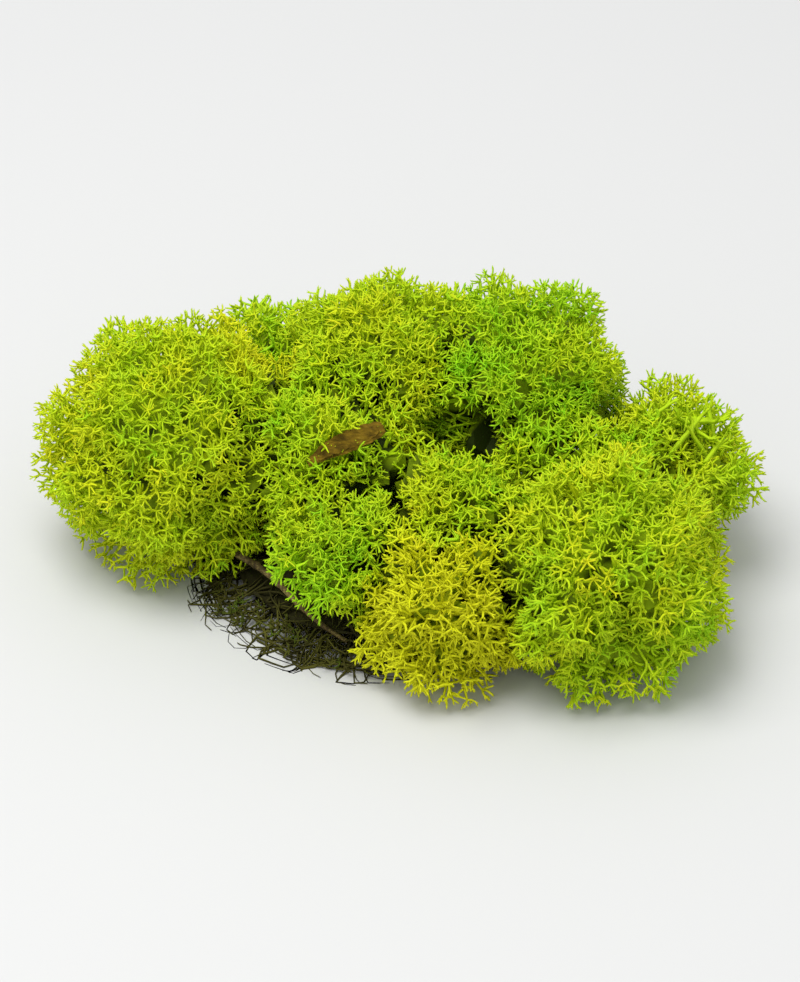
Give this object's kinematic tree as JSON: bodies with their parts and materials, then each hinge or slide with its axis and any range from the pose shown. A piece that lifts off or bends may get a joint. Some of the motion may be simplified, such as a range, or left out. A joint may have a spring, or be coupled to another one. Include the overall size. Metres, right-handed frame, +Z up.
{
  "type": "reindeer moss clump",
  "caption": "Clump of preserved reindeer moss: round branching heads crowded on a tangle of old stems, with a flake of bark and a twig caught in it.",
  "frame": {"origin": "middle of the flat spot that the clump rests on, under its old stems", "axes": "+Z up, -Y towards the side that the picture shows, +X to the right in the picture and along the clump's length"},
  "size_m": [0.152, 0.1146, 0.055],
  "materials": {
    "moss_yellow_green": "dyed lichen, yellow-green tips, soft and matte",
    "moss_green": "dyed lichen, bright green tips, soft and matte",
    "moss_golden": "dyed lichen, golden green stems, soft and matte",
    "moss_old": "old lichen stems, dark olive, matte",
    "bark": "red-brown flaky bark, matte",
    "twig": "dark brown twig, matte"
  },
  "bodies": {
    "root": {"head_left": "moss_yellow_green", "head_crown": "moss_yellow_green", "head_cap": "moss_green", "head_saddle": "moss_yellow_green", "head_middle": "moss_green", "head_ridge": "moss_yellow_green", "head_front": "moss_golden", "head_corner": "moss_green", "head_inner": "moss_yellow_green", "head_right": "moss_yellow_green", "head_back_left": "moss_green", "head_back_right": "moss_green", "old_stems": "moss_old", "bark_scrap": "bark", "twig": "twig"}
  },
  "joints": []
}
